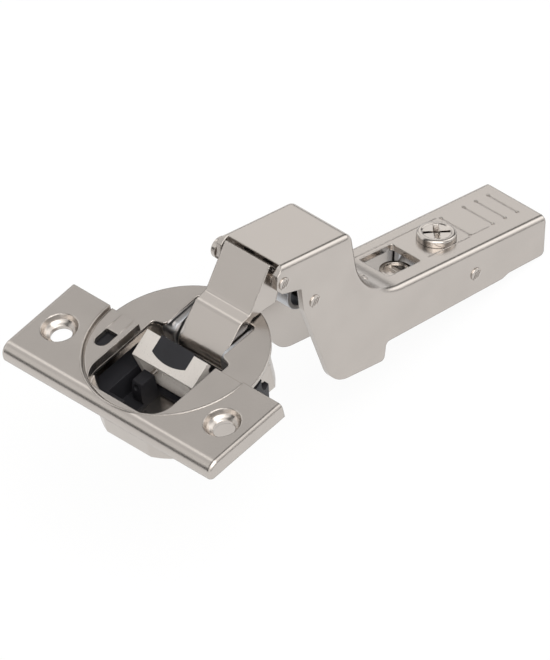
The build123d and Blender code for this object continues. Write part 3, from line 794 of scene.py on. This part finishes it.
class CUPHINGE_OT_top_marks(bpy.types.Operator):
    """Adds the creases and the cross lines' end marks on the arm's rear top, and the crank's dimple"""

    bl_idname = "cuphinge.top_marks"
    bl_label = "Top Marks"

    def execute(self, context):
        size = context.scene.cup_hinge_detail
        width, height = size.bead_width, size.bead_height
        lines = [
            bead("crease", start + (REAR_TOP,), end + (REAR_TOP,), width, height, ARM_FRAME)
            for start, end in CREASES
        ]
        settle(joined(lines, "top_creases"), "arm", "nickel_steel")
        marks = []
        for place in RIB_PLACES:
            for end in RIB_ENDS:
                deselect()
                bpy.ops.mesh.primitive_cylinder_add(
                    vertices=20,
                    radius=size.nub_radius,
                    depth=2 * height,
                    location=Vector((place, end, REAR_TOP)) * MM,
                )
                piece = added("mark")
                select_faces(piece, lambda centre, normal: normal.z > 0.9)
                bpy.ops.mesh.inset(thickness=0.4 * size.nub_radius)
                bpy.ops.transform.translate(value=(0, 0, -height))
                bake_place(piece, ARM_FRAME)
                marks.append(piece)
        settle(joined(marks, "line_end_marks"), "arm", "nickel_steel")
        deselect()
        bpy.ops.mesh.primitive_torus_add(
            major_radius=DIMPLE_RADIUS * MM,
            minor_radius=DIMPLE_LIP * MM,
            major_segments=48,
            minor_segments=12,
            location=Vector(DIMPLE_PLACE) * MM,
            rotation=(0, DIMPLE_SLOPE, 0),
        )
        bpy.context.object.scale = DIMPLE_STRETCH
        piece = added("crank_dimple")
        bake_place(piece, ARM_FRAME)
        settle(piece, "arm", "nickel_steel")
        return {"FINISHED"}


class CUPHINGE_OT_pin_peening(bpy.types.Operator):
    """Adds the dented ends of the arm's three pins, of the front pin on the near side only"""

    bl_idname = "cuphinge.pin_peening"
    bl_label = "Pin Peening"

    def execute(self, context):
        radius = context.scene.cup_hinge_detail.peen_radius
        ends = []
        for x, z in (FRONT_PIN, REAR_PIN, CLIP_PIN):
            for side in (-1, 1):
                if side > 0 and (x, z) == FRONT_PIN:
                    continue
                deselect()
                bpy.ops.mesh.primitive_cylinder_add(
                    vertices=24,
                    radius=radius,
                    depth=PEEN_DEPTH * MM,
                    location=Vector((x, side * SIDE_WALL, z)) * MM,
                    rotation=(math.pi / 2, 0, 0),
                )
                piece = added("peening")
                select_edges(
                    piece,
                    lambda middle, way: side * middle.y > 0.4 * PEEN_DEPTH * MM and abs(way.y) < 0.5,
                )
                bpy.ops.mesh.bevel(offset=PEEN_EDGE * MM, segments=3, affect="EDGES")
                bpy.ops.object.mode_set(mode="OBJECT")
                for step in (-1, 0, 1):
                    along = x + CHISEL_STEP[0] * step
                    out = side * (SIDE_WALL + PEEN_DEPTH / 2)
                    up = z + CHISEL_STEP[1] * step
                    deselect()
                    bpy.ops.mesh.primitive_cube_add(
                        size=1,
                        location=Vector((along, out, up)) * MM,
                        rotation=(0, CHISEL_TURN, 0),
                        scale=Vector(CHISEL_SIZE) * MM,
                    )
                    cutter = added("mark_cutter")
                    bpy.ops.object.mode_set(mode="OBJECT")
                    cut(piece, cutter)
                deselect()
                bpy.context.view_layer.objects.active = piece
                piece.select_set(True)
                bpy.ops.object.mode_set(mode="EDIT")
                bake_place(piece, ARM_FRAME)
                ends.append(piece)
        settle(joined(ends, "pin_peenings"), "arm", "pin_steel", 40)
        return {"FINISHED"}


class CUPHINGE_OT_side_screw(bpy.types.Operator):
    """Models the side screw with its rounded head and cross recess"""

    bl_idname = "cuphinge.side_screw"
    bl_label = "Side Screw"

    def execute(self, context):
        radius = context.scene.cup_hinge_detail.screw_radius
        base = (REAR_TOP + HEAD_SINK) * MM
        top = base + HEAD_HEIGHT * MM
        half = (top - base) / 2
        deselect()
        bpy.ops.mesh.primitive_cylinder_add(
            vertices=64,
            radius=radius,
            depth=top - base,
            location=(SCREW_PLACE * MM, 0, (top + base) / 2),
        )
        piece = added("side_screw_head")
        select_faces(piece, lambda centre, normal: normal.z < -0.9)
        bpy.ops.mesh.inset(thickness=NECK_INSET * MM)
        bpy.ops.mesh.extrude_region_move(TRANSFORM_OT_translate={"value": (0, 0, -NECK_LENGTH * MM)})
        select_edges(piece, lambda middle, way: middle.z > 0.99 * half)
        bpy.ops.mesh.bevel(offset=HEAD_EDGE * MM, segments=5, affect="EDGES")
        select_faces(piece, lambda centre, normal: normal.z > 0.9 and centre.xy.length < 0.1 * MM)
        bpy.ops.mesh.inset(thickness=RIM_WIDTH * MM)
        bpy.ops.mesh.inset(thickness=GROOVE_WIDTH * MM, depth=-GROOVE_DEPTH * MM)
        bpy.ops.object.mode_set(mode="OBJECT")
        # The cross recess, cut by two crossing wedges
        for turn, depth in RECESS_CUTS:
            deselect()
            bpy.ops.mesh.primitive_cube_add(
                size=1,
                location=(SCREW_PLACE * MM, 0, top),
                rotation=(0, 0, turn),
                scale=Vector((*RECESS_SIZE, depth)) * MM,
            )
            cutter = added("recess_cutter")
            select_faces(cutter, lambda centre, normal: normal.z < -0.9)
            bpy.ops.transform.resize(value=RECESS_TAPER)
            bpy.ops.object.mode_set(mode="OBJECT")
            cut(piece, cutter)
        deselect()
        bpy.context.view_layer.objects.active = piece
        piece.select_set(True)
        bpy.ops.object.mode_set(mode="EDIT")
        bake_place(piece, ARM_FRAME)
        settle(piece, "side_screw", "screw_nickel", 25)
        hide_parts("side_screw")
        return {"FINISHED"}


class CUPHINGE_OT_closing_spring(bpy.types.Operator):
    """Winds the closing spring's two coils round the arm's front pin"""

    bl_idname = "cuphinge.closing_spring"
    bl_label = "Closing Spring"

    def execute(self, context):
        wire = context.scene.cup_hinge_detail.wire_radius
        x, z = FRONT_PIN
        coils = []
        for low, high in COIL_SPANS:
            run = (high - low) * MM - 2 * wire
            coils.append(
                coil(
                    "coil",
                    COIL_RADIUS * MM,
                    wire,
                    run / COIL_TURNS,
                    COIL_TURNS,
                    Vector((x * MM, low * MM + wire, z * MM)),
                    COIL_LEG * MM,
                    ARM_FRAME,
                )
            )
        piece = settle(joined(coils, "closing_spring_coils"), "arm", "spring_steel", 60)
        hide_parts("closing_spring")
        return {"FINISHED"}


class CUPHINGE_OT_plate_creases(bpy.types.Operator):
    """Adds the two creases from the switch window to the plate's back edge, and the field's edge"""

    bl_idname = "cuphinge.plate_creases"
    bl_label = "Plate Creases"

    def execute(self, context):
        size = context.scene.cup_hinge_detail
        start, end = FIELD_CREASE_ENDS
        lines = [
            bead(
                "crease",
                (start, y, FIELD_TOP),
                (end, y, FIELD_TOP),
                size.bead_width,
                size.bead_height,
                DOOR_FRAME,
            )
            for y in FIELD_CREASES
        ]
        settle(joined(lines, "window_creases"), "cup_body", "nickel_steel")
        # Rounded edge of the sheet round the sunk field, up to the plate's back edge
        deselect()
        bpy.ops.mesh.primitive_torus_add(
            major_radius=FIELD_RADIUS * MM + FIELD_EDGE_OUT * size.bead_width,
            minor_radius=FIELD_EDGE_RADIUS * size.bead_width,
            major_segments=160,
            minor_segments=12,
            location=(0, 0, 0),
        )
        piece = added("field_edge")
        bpy.ops.mesh.select_all(action="SELECT")
        bpy.ops.transform.resize(value=(1, 1, FIELD_EDGE_FLATNESS))
        select_faces(piece, lambda centre, normal: centre.x > FIELD_EDGE_END * MM)
        bpy.ops.mesh.delete(type="FACE")
        bpy.ops.mesh.select_all(action="SELECT")
        bpy.ops.mesh.fill_holes(sides=0)
        bake_place(piece, Matrix.Translation((0, 0, PLATE_TOP * MM)))
        settle(piece, "cup_body", "nickel_steel", 60)
        return {"FINISHED"}


class CUPHINGE_OT_stage(bpy.types.Operator):
    """Sets up the pale floor, the soft lamps, the world and the camera"""

    bl_idname = "cuphinge.stage"
    bl_label = "Stage"

    def execute(self, context):
        view = context.scene.cup_hinge_view
        deselect()
        low = CAD_BOX[0][2]
        bpy.ops.mesh.primitive_plane_add(size=FLOOR_SIZE, location=(0, 0, low - FLOOR_DROP))
        floor = context.object
        floor.name = "floor"
        floor.data.materials.append(floor_material())
        for name, place, size, share, colour in LAMPS:
            bpy.ops.object.light_add(type="AREA", location=place)
            lamp = context.object
            lamp.name = name
            lamp.data.shape = "DISK"
            lamp.data.size = size
            lamp.data.energy = share * view.lamp_power
            lamp.data.color = colour
            aim = Vector(LAMP_AIM) - Vector(place)
            lamp.rotation_euler = aim.to_track_quat("-Z", "Y").to_euler()
        light_world(context.scene)
        place_camera(context.scene, view)
        context.scene.view_settings.view_transform = "Standard"
        return {"FINISHED"}


STEPS = (
    CUPHINGE_OT_finishes,
    CUPHINGE_OT_top_marks,
    CUPHINGE_OT_pin_peening,
    CUPHINGE_OT_side_screw,
    CUPHINGE_OT_closing_spring,
    CUPHINGE_OT_plate_creases,
    CUPHINGE_OT_stage,
)


class CUPHINGE_PT_sidebar(bpy.types.Panel):
    """Lists the settings and the steps"""

    bl_idname = "CUPHINGE_PT_sidebar"
    bl_label = "Cup Hinge"
    bl_space_type = "VIEW_3D"
    bl_region_type = "UI"
    bl_category = "Cup Hinge"

    def draw(self, context):
        for group in ("cup_hinge_finish", "cup_hinge_detail", "cup_hinge_view"):
            settings = getattr(context.scene, group)
            box = self.layout.box()
            for name in settings.__annotations__:
                box.prop(settings, name)
        for step in STEPS:
            self.layout.operator(step.bl_idname)


CLASSES = (CupHingeFinish, CupHingeDetail, CupHingeView) + STEPS + (CUPHINGE_PT_sidebar,)


def register():
    for item in CLASSES:
        bpy.utils.register_class(item)
    bpy.types.Scene.cup_hinge_finish = bpy.props.PointerProperty(type=CupHingeFinish)
    bpy.types.Scene.cup_hinge_detail = bpy.props.PointerProperty(type=CupHingeDetail)
    bpy.types.Scene.cup_hinge_view = bpy.props.PointerProperty(type=CupHingeView)


def unregister():
    for name in ("cup_hinge_finish", "cup_hinge_detail", "cup_hinge_view"):
        delattr(bpy.types.Scene, name)
    for item in reversed(CLASSES):
        bpy.utils.unregister_class(item)


def main():
    """Registers the add-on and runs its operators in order."""
    register()
    bpy.ops.cuphinge.finishes()
    bpy.ops.cuphinge.top_marks()
    bpy.ops.cuphinge.pin_peening()
    bpy.ops.cuphinge.side_screw()
    bpy.ops.cuphinge.closing_spring()
    bpy.ops.cuphinge.plate_creases()
    bpy.ops.cuphinge.stage()


if __name__ == "__main__":
    main()
